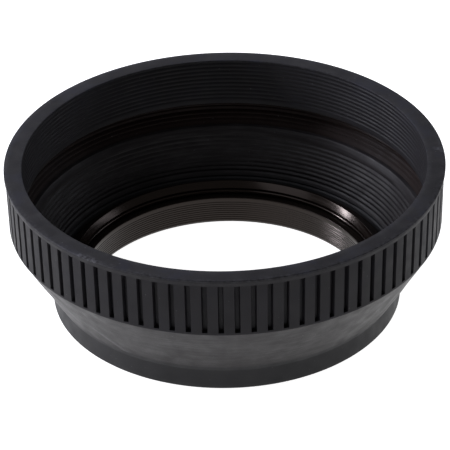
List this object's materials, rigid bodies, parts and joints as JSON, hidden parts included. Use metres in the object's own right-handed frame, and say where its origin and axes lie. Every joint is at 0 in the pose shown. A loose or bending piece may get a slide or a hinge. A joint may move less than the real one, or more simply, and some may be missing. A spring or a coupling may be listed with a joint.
{
  "type": "lens hood",
  "caption": "Collapsible black rubber lens hood: slotted front band, folding conical web, rear collar and a metal screw-in mount ring held by a clamp ring.",
  "frame": {"origin": "centre of the thread's end face, which is the face the hood stands on", "axes": "+Z along the optical axis, from the thread towards the wide mouth; the hood is a body of revolution"},
  "size_m": [0.0728, 0.0728, 0.0278],
  "materials": {
    "rubber": "matt black moulded rubber, faintly bluish",
    "anodised_metal": "black anodised, fine turned grooves in the bore",
    "gloss_black_metal": "gloss black"
  },
  "bodies": {
    "mount": {"mount_ring": "anodised_metal", "clamp_ring": "gloss_black_metal", "rear_collar": "rubber", "fold_web": "rubber"},
    "front_band": {"front_grip_band": "rubber"}
  },
  "joints": [
    {"name": "hood_fold", "type": "slide", "parent": "mount", "child": "front_band", "axis": [0, 0, 1], "range_m": [-0.0165, 0], "deforming": ["fold_web"]}
  ]
}
